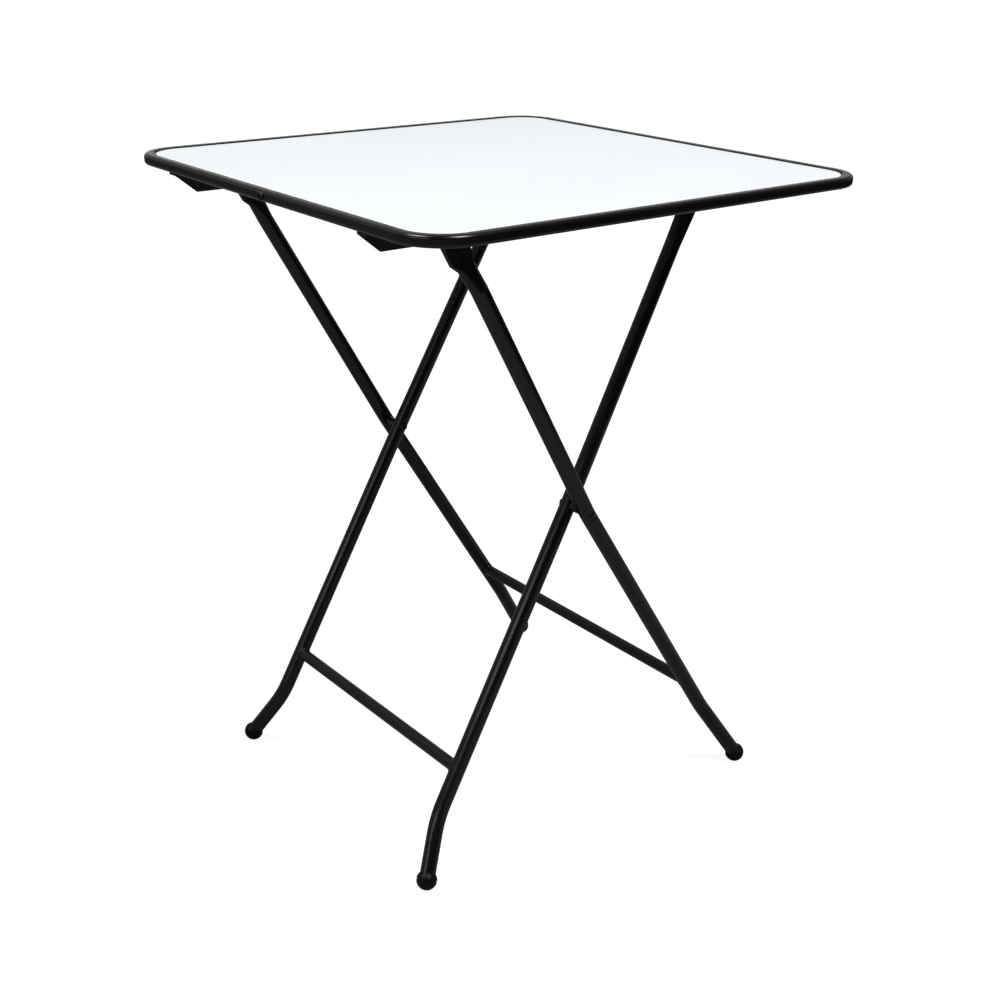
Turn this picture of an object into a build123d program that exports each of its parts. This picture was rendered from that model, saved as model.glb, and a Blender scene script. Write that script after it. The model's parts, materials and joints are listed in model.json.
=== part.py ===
from build123d import *
import math
import os

# A folding side table: a white square top in a black steel hoop, carried by an
# outer and an inner pair of crossed tube legs. The outer legs hinge under the
# front of the top, and a rod between the inner legs hooks into two slotted
# rails under the back of it.
# Origin: on the floor under the centre of the top. +X is to the sitter's right,
# +Y points away from the sitter, +Z is up. All lengths are in millimetres.

# The whole table
TOP_SIDE = 550.0
TABLE_HEIGHT = 704.0
TOP_CORNER_RADIUS = 48.0

# The rim: a bent tube of rounded rectangular section, joined at the front
RIM_WIDTH = 12.0
RIM_HEIGHT = 11.0
RIM_EDGE_RADIUS = 3.4
RIM_WALL = 1.2
RIM_SEAM_GAP = 0.6
RIM_SEAM_LEFT = 4.6
RIM_PLUG_LENGTH = 46.0
RIM_PLUG_CLEARANCE = 0.1
RIM_SCREW_FROM_SEAM = 13.0
RIM_SCREW_HEAD_RADIUS = 4.5
RIM_SCREW_HEAD_HEIGHT = 2.4
RIM_SCREW_HEAD_ROUND = 1.1
RIM_SCREW_SEAT_DEPTH = 0.7
RIM_SCREW_SHANK_RADIUS = 1.6
RIM_SCREW_SHANK_LENGTH = 8.0
RIM_SCREW_SOCKET_ACROSS = 3.2
RIM_SCREW_SOCKET_DEPTH = 1.4

# The panel inside the rim
PANEL_THICKNESS = 10.0
PANEL_BELOW_RIM = 1.0
PANEL_EDGE_GAP = 0.3
PANEL_EDGE_ROUND = 0.6

# The two rails: steel angles under the top, running from front to back
RAIL_FROM_EDGE = 106.3
RAIL_DEPTH = 20.0
RAIL_FLANGE = 15.0
RAIL_SHEET = 2.0
RAIL_INNER_RADIUS = 1.6
RAIL_END_INSET = 2.0
RAIL_SLANT_RUN = 22.6

# The screws that hold the rails to the panel
PANEL_SCREWS_PER_RAIL = 4
PANEL_SCREW_MARGIN = 62.0
PANEL_SCREW_HEAD_RADIUS = 3.8
PANEL_SCREW_HEAD_HEIGHT = 2.2
PANEL_SCREW_HEAD_ROUND = 1.2
PANEL_SCREW_SHANK_RADIUS = 1.7
PANEL_SCREW_LENGTH = 9.0
PANEL_SCREW_RECESS_ACROSS = 2.6
PANEL_SCREW_RECESS_DEPTH = 1.2

# Where the legs hinge, cross and stand, in from the top's front and back edges
HINGE_BELOW_TOP = 26.0
HINGE_FROM_EDGE = 87.8
ROD_BELOW_TOP = 24.0
ROD_FROM_EDGE = 118.9
PIVOT_HEIGHT = 374.3
PIVOT_FORWARD = 13.4
OUTER_FLARE_HEIGHT = 86.0
OUTER_FLARE_FROM_EDGE = 103.3
OUTER_FOOT_FROM_EDGE = 54.0
INNER_FLARE_HEIGHT = 62.0
INNER_FLARE_FROM_EDGE = 88.5
INNER_FOOT_FROM_EDGE = 58.4

# How far each leg steps sideways from one of these places to the next
OUTER_LEG_FROM_RAIL = 22.7
OUTER_STEP_TO_PIVOT = 8.6
OUTER_STEP_TO_FLARE = 4.4
OUTER_STEP_TO_FOOT = 16.3
CROSSING_SPACING = 30.3
INNER_STEP_TO_ROD = 12.3
INNER_STEP_TO_FLARE = 5.9
INNER_STEP_TO_FOOT = 22.6

# The leg tubes and their flattened upper ends
TUBE_RADIUS = 8.4
TUBE_WALL = 1.5
OUTER_FLARE_RADIUS = 80.0
INNER_FLARE_RADIUS = 90.0
KINK_BEND_RADIUS = 160.0
FLAT_THICKNESS = 5.5
FLAT_EDGE_ROUND = 1.8
OUTER_FLAT_WIDTH = 27.0
OUTER_FLAT_REACH = 19.5
OUTER_FLAT_INWARD = 6.0
OUTER_NECK_REACH = 29.0
OUTER_NECK_WIDTH = 18.4
OUTER_NECK_FLAT = 12.0
OUTER_CREASE_REACH = 53.0
INNER_FLAT_WIDTH = 24.0
INNER_FLAT_REACH = 30.0
INNER_FLAT_OUTWARD = 1.4
INNER_CREASE_REACH = 60.0
CREASE_HALF_ANGLE = 4.0
PAD_DEPTH = 0.9
PAD_RADIUS = 5.8

# The crossbars
BAR_RADIUS = 6.6
BAR_WALL = 1.2
OUTER_BAR_HEIGHT = 127.4
INNER_BAR_HEIGHT = 111.4
WELD_GAP = 0.05

# The rod between the inner legs, and the slots that it hooks into
ROD_RADIUS = 4.0
ROD_PAST_RAIL = 4.0
ROD_END_CHAMFER = 0.8
SLOT_CLEARANCE = 0.3
SLOT_MOUTH_REACH = 20.0
SLOT_LEAN_DEGREES = 29.3

# Bolts of the top hinges
BOLT_RADIUS = 3.0
BOLT_HEAD_RADIUS = 5.6
BOLT_HEAD_HEIGHT = 3.0
BOLT_HEAD_ROUND = 2.0
BOLT_SOCKET_ACROSS = 4.0
BOLT_SOCKET_DEPTH = 1.6
BOLT_END_PAST_NUT = 1.2
RUNNING_FIT = 0.08
FIXED_FIT = 0.05
FACE_PLAY = 0.1
SLEEVE_RADIUS = 5.2
WASHER_RADIUS = 6.2
WASHER_THICKNESS = 1.0
NUT_ACROSS_FLATS = 10.0
NUT_HEIGHT = 5.0

# Rivets and spacers of the leg crossings
RIVET_RADIUS = 3.0
RIVET_HEAD_RADIUS = 5.4
RIVET_HEAD_HEIGHT = 2.0
RIVET_ROLL_RADIUS = 4.4
RIVET_ROLL_HEIGHT = 2.2
RIVET_HOLLOW_RADIUS = 1.8
RIVET_HOLLOW_DEPTH = 5.0
SPACER_RADIUS = 4.4

# Foot plugs
FOOT_RADIUS = 11.1
FOOT_SHOULDER_BACK = 6.4
FOOT_SHOULDER_RADIUS = 8.8
FOOT_COLLAR_BACK = 2.4
FOOT_GROOVE_BELOW = 0.4
FOOT_GROOVE_WIDTH = 1.2
FOOT_GROOVE_DEPTH = 0.7
FOOT_PLUG_LENGTH = 15.0
FOOT_PLUG_CLEARANCE = 0.05
FOOT_PLUG_CHAMFER = 0.8

# How far a cutting tool runs past the piece that it cuts
OVERRUN = 20.0

# Levels and places that follow from the sizes above
HALF_TOP = TOP_SIDE / 2
RIM_BOTTOM = TABLE_HEIGHT - RIM_HEIGHT
PANEL_TOP = TABLE_HEIGHT - PANEL_BELOW_RIM
HINGE_HEIGHT = TABLE_HEIGHT - HINGE_BELOW_TOP
HINGE_Y = HINGE_FROM_EDGE - HALF_TOP
ROD_HEIGHT = TABLE_HEIGHT - ROD_BELOW_TOP
ROD_Y = HALF_TOP - ROD_FROM_EDGE
PIVOT_Y = -PIVOT_FORWARD
RIM_SEAM_X = -RIM_SEAM_LEFT
RIM_SCREW_X = RIM_SEAM_X + RIM_SCREW_FROM_SEAM
RAIL_INNER_FACE = HALF_TOP - RAIL_FROM_EDGE
RAIL_OUTER_FACE = RAIL_INNER_FACE + RAIL_SHEET
OUTER_HALF_AT_HINGE = RAIL_OUTER_FACE + OUTER_LEG_FROM_RAIL
OUTER_HALF_AT_PIVOT = OUTER_HALF_AT_HINGE - OUTER_STEP_TO_PIVOT
OUTER_HALF_AT_FLARE = OUTER_HALF_AT_PIVOT + OUTER_STEP_TO_FLARE
OUTER_HALF_AT_FOOT = OUTER_HALF_AT_FLARE + OUTER_STEP_TO_FOOT
INNER_HALF_AT_PIVOT = OUTER_HALF_AT_PIVOT - CROSSING_SPACING
INNER_HALF_AT_ROD = INNER_HALF_AT_PIVOT - INNER_STEP_TO_ROD
INNER_HALF_AT_FLARE = INNER_HALF_AT_PIVOT + INNER_STEP_TO_FLARE
INNER_HALF_AT_FOOT = INNER_HALF_AT_FLARE + INNER_STEP_TO_FOOT
OUTER_FLAT_FACE = OUTER_HALF_AT_HINGE - OUTER_FLAT_INWARD + FLAT_THICKNESS / 2
PAD_LEVEL = TUBE_RADIUS - PAD_DEPTH
BORE_RADIUS = TUBE_RADIUS - TUBE_WALL
FULL_TURN = 360.0


def along(start, end, distance):
    """The point at a distance from start on the line to end."""
    direction = (Vector(end) - Vector(start)).normalized()
    return Vector(start) + direction * distance


def across_x(radius, low, high, y, z):
    """A cylinder along X between two X values."""
    plane = Plane(origin=(low, y, z), x_dir=(0, 1, 0), z_dir=(1, 0, 0))
    return extrude(plane * Circle(radius), high - low)


def ring_across_x(outer_radius, inner_radius, low, high, y, z):
    """A washer or sleeve along X between two X values."""
    plane = Plane(origin=(low, y, z), x_dir=(0, 1, 0), z_dir=(1, 0, 0))
    return extrude(plane * (Circle(outer_radius) - Circle(inner_radius)), high - low)


def left_of(piece):
    """The mirror image of a right-hand piece."""
    return mirror(piece, about=Plane.YZ)


# The table top


def rounded_slab(side, corner_radius, low, high):
    """A square plate with rounded corners between two levels."""
    return extrude(Pos(0, 0, low) * RectangleRounded(side, side, corner_radius), high - low)


def hoop(inset, edge_radius):
    """The solid ring of the rim's section, drawn in on every face by an inset."""
    low = RIM_BOTTOM + inset
    high = TABLE_HEIGHT - inset
    inner_side = TOP_SIDE - 2 * RIM_WIDTH
    ring = rounded_slab(TOP_SIDE - 2 * inset, TOP_CORNER_RADIUS - inset, low, high)
    ring -= rounded_slab(inner_side + 2 * inset, TOP_CORNER_RADIUS - RIM_WIDTH + inset, low, high)
    flat_faces = ring.faces().filter_by(Axis.Z)
    return fillet(flat_faces.edges(), edge_radius)


def rim_screw_plane():
    """The plane on the rim's front face, facing the sitter, at the rim screw."""
    middle = (RIM_BOTTOM + TABLE_HEIGHT) / 2
    return Plane(origin=(RIM_SCREW_X, -HALF_TOP, middle), x_dir=(1, 0, 0), z_dir=(0, -1, 0))


def rim_hoop():
    """The bent rim tube, open inside, with its seam and the screw's recess."""
    tube = hoop(0, RIM_EDGE_RADIUS) - hoop(RIM_WALL, RIM_EDGE_RADIUS - RIM_WALL)
    seam_cut = Box(RIM_SEAM_GAP, RIM_WIDTH + OVERRUN, RIM_HEIGHT + OVERRUN)
    tube -= Pos(RIM_SEAM_X, RIM_WIDTH / 2 - HALF_TOP, RIM_BOTTOM + RIM_HEIGHT / 2) * seam_cut
    plane = rim_screw_plane()
    seat = extrude(plane * Circle(RIM_SCREW_HEAD_RADIUS + FIXED_FIT), -RIM_SCREW_SEAT_DEPTH)
    hole = extrude(plane * Circle(RIM_SCREW_SHANK_RADIUS + FIXED_FIT), -2 * RIM_WALL)
    return tube - seat - hole


def rim_joint_plug():
    """The steel block inside the rim that joins its two ends."""
    reach = RIM_WALL + RIM_PLUG_CLEARANCE
    section = Rectangle(RIM_WIDTH - 2 * reach, RIM_HEIGHT - 2 * reach)
    section = fillet(section.vertices(), RIM_EDGE_RADIUS - RIM_WALL)
    middle = (RIM_BOTTOM + TABLE_HEIGHT) / 2
    start = (RIM_SEAM_X - RIM_PLUG_LENGTH / 2, RIM_WIDTH / 2 - HALF_TOP, middle)
    plane = Plane(origin=start, x_dir=(0, 1, 0), z_dir=(1, 0, 0))
    block = extrude(plane * section, RIM_PLUG_LENGTH)
    hole_depth = RIM_WALL + RIM_SCREW_SHANK_LENGTH + FIXED_FIT
    hole = extrude(rim_screw_plane() * Circle(RIM_SCREW_SHANK_RADIUS + FIXED_FIT), -hole_depth)
    return block - hole


def rim_joint_screw():
    """The domed screw that pins the rim to the block inside it."""
    plane = rim_screw_plane()
    seat = plane.offset(-RIM_SCREW_SEAT_DEPTH)
    head = extrude(seat * Circle(RIM_SCREW_HEAD_RADIUS), RIM_SCREW_HEAD_HEIGHT)
    head = fillet(head.edges().sort_by(Axis.Y)[0], RIM_SCREW_HEAD_ROUND)
    face = seat.offset(RIM_SCREW_HEAD_HEIGHT)
    hexagon = RegularPolygon(RIM_SCREW_SOCKET_ACROSS / 2, 6, major_radius=False)
    socket = extrude(face * hexagon, -RIM_SCREW_SOCKET_DEPTH)
    shank = extrude(plane * Circle(RIM_SCREW_SHANK_RADIUS), -RIM_WALL - RIM_SCREW_SHANK_LENGTH)
    return head + shank - socket


def panel_screw_places():
    """The Y of each panel screw, evenly spaced along a rail."""
    first = PANEL_SCREW_MARGIN - HALF_TOP
    step = -2 * first / (PANEL_SCREWS_PER_RAIL - 1)
    return [first + step * count for count in range(PANEL_SCREWS_PER_RAIL)]


def panel_screw_x():
    """The middle of the free part of a rail's flat flange."""
    return (RAIL_OUTER_FACE + RAIL_INNER_FACE + RAIL_FLANGE) / 2


def top_panel():
    """The white board inside the rim, with the pilot holes of its screws."""
    inner_side = TOP_SIDE - 2 * RIM_WIDTH
    side = inner_side - 2 * PANEL_EDGE_GAP
    radius = TOP_CORNER_RADIUS - RIM_WIDTH - PANEL_EDGE_GAP
    board = rounded_slab(side, radius, PANEL_TOP - PANEL_THICKNESS, PANEL_TOP)
    board = fillet(board.faces().sort_by(Axis.Z)[-1].edges(), PANEL_EDGE_ROUND)
    depth = PANEL_SCREW_LENGTH - RAIL_SHEET + FIXED_FIT
    pilot = Cylinder(PANEL_SCREW_SHANK_RADIUS + FIXED_FIT, 2 * depth)
    for y in panel_screw_places():
        for x in (-panel_screw_x(), panel_screw_x()):
            board -= Pos(x, y, PANEL_TOP - PANEL_THICKNESS) * pilot
    return board


def rail_right():
    """One rail: an angle with slanted ends, a hinge hole and a hooked slot."""
    half_length = HALF_TOP - RAIL_END_INSET
    top = RIM_BOTTOM
    web = Rectangle(RAIL_SHEET, RAIL_DEPTH, align=(Align.MIN, Align.MAX))
    flange = Rectangle(RAIL_FLANGE, RAIL_SHEET, align=(Align.MIN, Align.MAX))
    section = web + flange
    inner_corner = section.vertices().sort_by_distance((RAIL_SHEET, -RAIL_SHEET, 0))[0]
    section = fillet(inner_corner, RAIL_INNER_RADIUS)
    plane = Plane(origin=(RAIL_INNER_FACE, half_length, top), x_dir=(1, 0, 0), z_dir=(0, -1, 0))
    rail = extrude(plane * section, 2 * half_length)
    rail -= rail_end_cut(half_length, -1)
    rail -= rail_end_cut(half_length, 1)
    low = RAIL_INNER_FACE - OVERRUN
    high = RAIL_OUTER_FACE + OVERRUN
    rail -= across_x(BOLT_RADIUS + RUNNING_FIT, low, high, HINGE_Y, HINGE_HEIGHT)
    rail -= catch_slot()
    screw_hole = Cylinder(PANEL_SCREW_SHANK_RADIUS + FIXED_FIT, 2 * OVERRUN)
    for y in panel_screw_places():
        rail -= Pos(panel_screw_x(), y, top) * screw_hole
    return rail


def rail_end_cut(half_length, side):
    """The wedge that slants one end of a rail's hanging web."""
    low = RIM_BOTTOM - RAIL_DEPTH
    high = RIM_BOTTOM - RAIL_SHEET
    slope = RAIL_SLANT_RUN / (RAIL_DEPTH - RAIL_SHEET)
    end = side * half_length
    toe = side * (half_length - RAIL_SLANT_RUN)
    far = side * (half_length + OVERRUN)
    below = low - OVERRUN
    below_toe = toe - side * slope * OVERRUN
    outline = Polyline((end, high), (far, high), (far, below), (below_toe, below), close=True)
    plane = Plane(origin=(RAIL_INNER_FACE - OVERRUN, 0, 0), x_dir=(0, 1, 0), z_dir=(1, 0, 0))
    return extrude(plane * make_face(outline), RAIL_FLANGE + 2 * OVERRUN)


def catch_slot():
    """The slanted slot that hooks over the rod, open towards the front and down."""
    half_width = ROD_RADIUS + SLOT_CLEARANCE
    low = RAIL_INNER_FACE - OVERRUN
    deep = RAIL_SHEET + 2 * OVERRUN
    plane = Plane(origin=(low, ROD_Y, ROD_HEIGHT), x_dir=(0, 1, 0), z_dir=(1, 0, 0))
    lean = Rot(0, 0, -SLOT_LEAN_DEGREES)
    mouth = Rectangle(2 * half_width, SLOT_MOUTH_REACH, align=(Align.CENTER, Align.MAX))
    return extrude(plane * (Circle(half_width) + lean * mouth), deep)


def panel_screws():
    """The screws that hold the two rails up against the panel."""
    head = extrude(Circle(PANEL_SCREW_HEAD_RADIUS), -PANEL_SCREW_HEAD_HEIGHT)
    head = fillet(head.edges().sort_by(Axis.Z)[0], PANEL_SCREW_HEAD_ROUND)
    shank = extrude(Circle(PANEL_SCREW_SHANK_RADIUS), PANEL_SCREW_LENGTH)
    across = PANEL_SCREW_RECESS_ACROSS
    recess = Pos(0, 0, -PANEL_SCREW_HEAD_HEIGHT) * Box(across, across, 2 * PANEL_SCREW_RECESS_DEPTH)
    screw = head + shank - recess
    screws = []
    for x in (-panel_screw_x(), panel_screw_x()):
        for y in panel_screw_places():
            screws.append(Pos(x, y, RIM_BOTTOM - RAIL_SHEET) * screw)
    return Compound(children=screws)


# The legs


def outer_stations():
    """Centre-line points of a right outer leg: hinge, pivot, flare and foot."""
    return [
        (OUTER_HALF_AT_HINGE, HINGE_Y, HINGE_HEIGHT),
        (OUTER_HALF_AT_PIVOT, PIVOT_Y, PIVOT_HEIGHT),
        (OUTER_HALF_AT_FLARE, HALF_TOP - OUTER_FLARE_FROM_EDGE, OUTER_FLARE_HEIGHT),
        (OUTER_HALF_AT_FOOT, HALF_TOP - OUTER_FOOT_FROM_EDGE, FOOT_RADIUS),
    ]


def inner_stations():
    """Centre-line points of a right inner leg: rod, pivot, flare and foot."""
    return [
        (INNER_HALF_AT_ROD, ROD_Y, ROD_HEIGHT),
        (INNER_HALF_AT_PIVOT, PIVOT_Y, PIVOT_HEIGHT),
        (INNER_HALF_AT_FLARE, INNER_FLARE_FROM_EDGE - HALF_TOP, INNER_FLARE_HEIGHT),
        (INNER_HALF_AT_FOOT, INNER_FOOT_FROM_EDGE - HALF_TOP, FOOT_RADIUS),
    ]


def closed_outline(plane, half_wide, half_thick, bulge_wide, bulge_thick):
    """A four-sided outline: two long sides, straight or bowed, and two round ends."""
    corners = [
        (half_wide, half_thick),
        (-half_wide, half_thick),
        (-half_wide, -half_thick),
        (half_wide, -half_thick),
    ]
    middles = [(0, bulge_thick), (-bulge_wide, 0), (0, -bulge_thick), (bulge_wide, 0)]
    edges = []
    for count in range(4):
        start = plane.from_local_coords(corners[count])
        end = plane.from_local_coords(corners[(count + 1) % 4])
        middle = plane.from_local_coords(middles[count])
        straight = middles[count][0] == 0 and abs(middles[count][1]) <= half_thick
        if straight:
            edges.append(Edge.make_line(start, end))
        else:
            edges.append(Edge.make_three_point_arc(start, middle, end))
    return Wire(edges)


def flat_outline(plane, width):
    """The pressed tube's section: two flat sides and two rounded edges."""
    half_thick = FLAT_THICKNESS / 2
    return closed_outline(plane, width / 2 - FLAT_EDGE_ROUND, half_thick, width / 2, half_thick)


def pressed_plate(centre, wide, downwards, width, reach):
    """The round-ended plate at a tube's pressed end, from its hole's centre down."""
    sideways = Vector(1, 0, 0)
    section = make_face(flat_outline(Plane(origin=centre, x_dir=wide, z_dir=downwards), width))
    outer_half = split(section, Plane(origin=centre, z_dir=wide), keep=Keep.TOP)
    round_end = revolve(outer_half, Axis(centre, sideways), FULL_TURN / 2)
    return round_end + extrude(section, reach, dir=downwards)


def neck_outline(plate_end, tube_start, wide, downwards):
    """The section where an outer leg's pressed end has narrowed to its tube."""
    share = (OUTER_NECK_REACH - OUTER_FLAT_REACH) / (OUTER_CREASE_REACH - OUTER_FLAT_REACH)
    centre = plate_end + (tube_start - plate_end) * share
    half_thick = FLAT_THICKNESS / 2 + (TUBE_RADIUS - FLAT_THICKNESS / 2) * share
    plane = Plane(origin=centre, x_dir=wide, z_dir=downwards)
    return closed_outline(plane, OUTER_NECK_FLAT / 2, half_thick, OUTER_NECK_WIDTH / 2, half_thick)


def pressed_end(top, pivot, shift, width, plate_reach, crease_reach, has_neck):
    """A tube's pressed end: a round-ended plate, then creases that run out on the tube."""
    downwards = Vector(0, pivot[1] - top[1], pivot[2] - top[2]).normalized()
    wide = Vector(1, 0, 0).cross(downwards)
    centre = Vector(top) + Vector(shift, 0, 0)
    plate_end = centre + downwards * plate_reach
    tube_start = along(top, pivot, crease_reach)
    tube_direction = (Vector(pivot) - Vector(top)).normalized()
    tube_plane = Plane(origin=tube_start, x_dir=wide, z_dir=tube_direction)
    narrow = TUBE_RADIUS * math.sin(math.radians(CREASE_HALF_ANGLE))
    deep = TUBE_RADIUS * math.cos(math.radians(CREASE_HALF_ANGLE))
    outlines = [flat_outline(Plane(origin=plate_end, x_dir=wide, z_dir=downwards), width)]
    if has_neck:
        outlines.append(neck_outline(plate_end, tube_start, wide, downwards))
    outlines.append(closed_outline(tube_plane, narrow, deep, TUBE_RADIUS, TUBE_RADIUS))
    creases = Solid.make_loft(outlines, ruled=True)
    return pressed_plate(centre, wide, downwards, width, plate_reach) + creases


def leg_path(stations, crease_reach, flare_radius):
    """The centre line of a leg's round part, from its pressed end to its foot."""
    top, pivot, flare, foot = stations
    start = along(top, pivot, crease_reach)
    end = along(foot, flare, FOOT_SHOULDER_BACK)
    return FilletPolyline(start, pivot, flare, end, radius=[KINK_BEND_RADIUS, flare_radius])


def swept_round(path, radius):
    """A round bar of one radius along a path."""
    plane = Plane(origin=path @ 0, z_dir=path % 0)
    return sweep(plane * Circle(radius), path=path)


def leg_tube(stations, crease_reach, flare_radius, rivet_hole_radius):
    """A right leg's bent tube with the pads and the hole of its crossing rivet."""
    pivot = stations[1]
    path = leg_path(stations, crease_reach, flare_radius)
    tube = swept_round(path, TUBE_RADIUS) - swept_round(path, BORE_RADIUS)
    reach = TUBE_RADIUS + OVERRUN
    for side in (-1, 1):
        inner = pivot[0] + side * PAD_LEVEL
        outer = pivot[0] + side * reach
        tube -= across_x(PAD_RADIUS, min(inner, outer), max(inner, outer), pivot[1], pivot[2])
    return tube - across_x(rivet_hole_radius, pivot[0] - reach, pivot[0] + reach, pivot[1], pivot[2])


def end_hole(top, radius):
    """The drill that goes through a leg's pressed end."""
    return across_x(radius, top[0] - OVERRUN, top[0] + OVERRUN, top[1], top[2])


def outer_leg():
    """The right outer leg, drilled for the hinge bolt."""
    stations = outer_stations()
    top, pivot = stations[0], stations[1]
    reaches = (OUTER_FLAT_REACH, OUTER_CREASE_REACH)
    end = pressed_end(top, pivot, -OUTER_FLAT_INWARD, OUTER_FLAT_WIDTH, *reaches, True)
    tube = leg_tube(stations, OUTER_CREASE_REACH, OUTER_FLARE_RADIUS, RIVET_RADIUS + FIXED_FIT)
    return end + tube - end_hole(top, BOLT_RADIUS + FIXED_FIT)


def inner_leg():
    """The right inner leg, drilled for the rod."""
    stations = inner_stations()
    top, pivot = stations[0], stations[1]
    reaches = (INNER_FLAT_REACH, INNER_CREASE_REACH)
    end = pressed_end(top, pivot, INNER_FLAT_OUTWARD, INNER_FLAT_WIDTH, *reaches, False)
    tube = leg_tube(stations, INNER_CREASE_REACH, INNER_FLARE_RADIUS, RIVET_RADIUS + RUNNING_FIT)
    return end + tube - end_hole(top, ROD_RADIUS + FIXED_FIT)


def crossbar(stations, height):
    """A tube between the two legs of a frame, coped to fit against them."""
    pivot = Vector(stations[1])
    flare = Vector(stations[2])
    share = (pivot.Z - height) / (pivot.Z - flare.Z)
    place = pivot + (flare - pivot) * share
    bar = ring_across_x(BAR_RADIUS, BAR_RADIUS - BAR_WALL, -place.X, place.X, place.Y, place.Z)
    leg_plane = Plane(origin=place - (flare - pivot).normalized() * OVERRUN, z_dir=flare - pivot)
    cope = extrude(leg_plane * Circle(TUBE_RADIUS + WELD_GAP), 2 * OVERRUN)
    return bar - cope - left_of(cope)


def top_rod():
    """The rod between the inner legs' upper ends, which hooks into the rails."""
    reach = RAIL_OUTER_FACE + ROD_PAST_RAIL
    rod = across_x(ROD_RADIUS, -reach, reach, ROD_Y, ROD_HEIGHT)
    return chamfer(rod.edges().filter_by(GeomType.CIRCLE), ROD_END_CHAMFER)


def foot_ball_point(level):
    """The point of a foot's ball at a level above its centre, in its half section."""
    return (math.sqrt(FOOT_RADIUS ** 2 - level ** 2), level)


def foot_plug(stations):
    """A domed foot with a fine groove, plugged into the lower end of a leg."""
    flare = Vector(stations[2])
    foot = Vector(stations[3])
    down = (foot - flare).normalized()
    plane = Plane(origin=foot, x_dir=down.cross(Vector(1, 0, 0)), z_dir=-down)
    plug_radius = BORE_RADIUS - FOOT_PLUG_CLEARANCE
    plug_end = FOOT_SHOULDER_BACK + FOOT_PLUG_LENGTH
    collar = foot_ball_point(FOOT_COLLAR_BACK)
    groove_top = foot_ball_point(FOOT_GROOVE_WIDTH / 2 - FOOT_GROOVE_BELOW)
    groove_end = foot_ball_point(-FOOT_GROOVE_WIDTH / 2 - FOOT_GROOVE_BELOW)
    groove_radius = FOOT_RADIUS - FOOT_GROOVE_DEPTH
    outline = [
        Line((0, plug_end), (plug_radius - FOOT_PLUG_CHAMFER, plug_end)),
        Line((plug_radius - FOOT_PLUG_CHAMFER, plug_end), (plug_radius, plug_end - FOOT_PLUG_CHAMFER)),
        Line((plug_radius, plug_end - FOOT_PLUG_CHAMFER), (plug_radius, FOOT_SHOULDER_BACK)),
        Line((plug_radius, FOOT_SHOULDER_BACK), (FOOT_SHOULDER_RADIUS, FOOT_SHOULDER_BACK)),
        Line((FOOT_SHOULDER_RADIUS, FOOT_SHOULDER_BACK), collar),
        RadiusArc(collar, groove_top, FOOT_RADIUS),
        Line(groove_top, (groove_radius, groove_top[1])),
        Line((groove_radius, groove_top[1]), (groove_radius, groove_end[1])),
        Line((groove_radius, groove_end[1]), groove_end),
        RadiusArc(groove_end, (0, -FOOT_RADIUS), FOOT_RADIUS),
        Line((0, -FOOT_RADIUS), (0, plug_end)),
    ]
    half_section = make_face(Curve() + outline)
    standing = Plane(origin=plane.origin, x_dir=plane.x_dir, z_dir=-plane.y_dir)
    return revolve(standing * half_section, Axis(foot, down), FULL_TURN)


# Bolts, rivets and what goes on them


def hinge_bolt():
    """The right hinge bolt: a domed socket head outside, its end inside."""
    end = RAIL_INNER_FACE - FACE_PLAY - WASHER_THICKNESS - NUT_HEIGHT - BOLT_END_PAST_NUT
    shank = across_x(BOLT_RADIUS, end, OUTER_FLAT_FACE, HINGE_Y, HINGE_HEIGHT)
    head_end = OUTER_FLAT_FACE + BOLT_HEAD_HEIGHT
    head = across_x(BOLT_HEAD_RADIUS, OUTER_FLAT_FACE, head_end, HINGE_Y, HINGE_HEIGHT)
    head = fillet(head.edges().sort_by(Axis.X)[-1], BOLT_HEAD_ROUND)
    plane = Plane(origin=(head_end, HINGE_Y, HINGE_HEIGHT), z_dir=(1, 0, 0))
    hexagon = RegularPolygon(BOLT_SOCKET_ACROSS / 2, 6, major_radius=False)
    return head + shank - extrude(plane * hexagon, -BOLT_SOCKET_DEPTH)


def hinge_sleeve():
    """The sleeve that keeps the outer leg clear of the rail."""
    low = RAIL_OUTER_FACE + FACE_PLAY + WASHER_THICKNESS
    high = OUTER_FLAT_FACE - FLAT_THICKNESS
    return ring_across_x(SLEEVE_RADIUS, BOLT_RADIUS + FIXED_FIT, low, high, HINGE_Y, HINGE_HEIGHT)


def hinge_washers():
    """The two washers of the right hinge, one on each side of the rail."""
    outside = RAIL_OUTER_FACE + FACE_PLAY
    inside = RAIL_INNER_FACE - FACE_PLAY - WASHER_THICKNESS
    washers = []
    for low in (inside, outside):
        high = low + WASHER_THICKNESS
        bore = BOLT_RADIUS + FIXED_FIT
        washers.append(ring_across_x(WASHER_RADIUS, bore, low, high, HINGE_Y, HINGE_HEIGHT))
    return washers


def hinge_nut():
    """The nut on the inner side of the right rail."""
    high = RAIL_INNER_FACE - FACE_PLAY - WASHER_THICKNESS
    plane = Plane(origin=(high, HINGE_Y, HINGE_HEIGHT), z_dir=(-1, 0, 0))
    hexagon = RegularPolygon(NUT_ACROSS_FLATS / 2, 6, major_radius=False)
    return extrude(plane * (hexagon - Circle(BOLT_RADIUS + FIXED_FIT)), NUT_HEIGHT)


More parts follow.
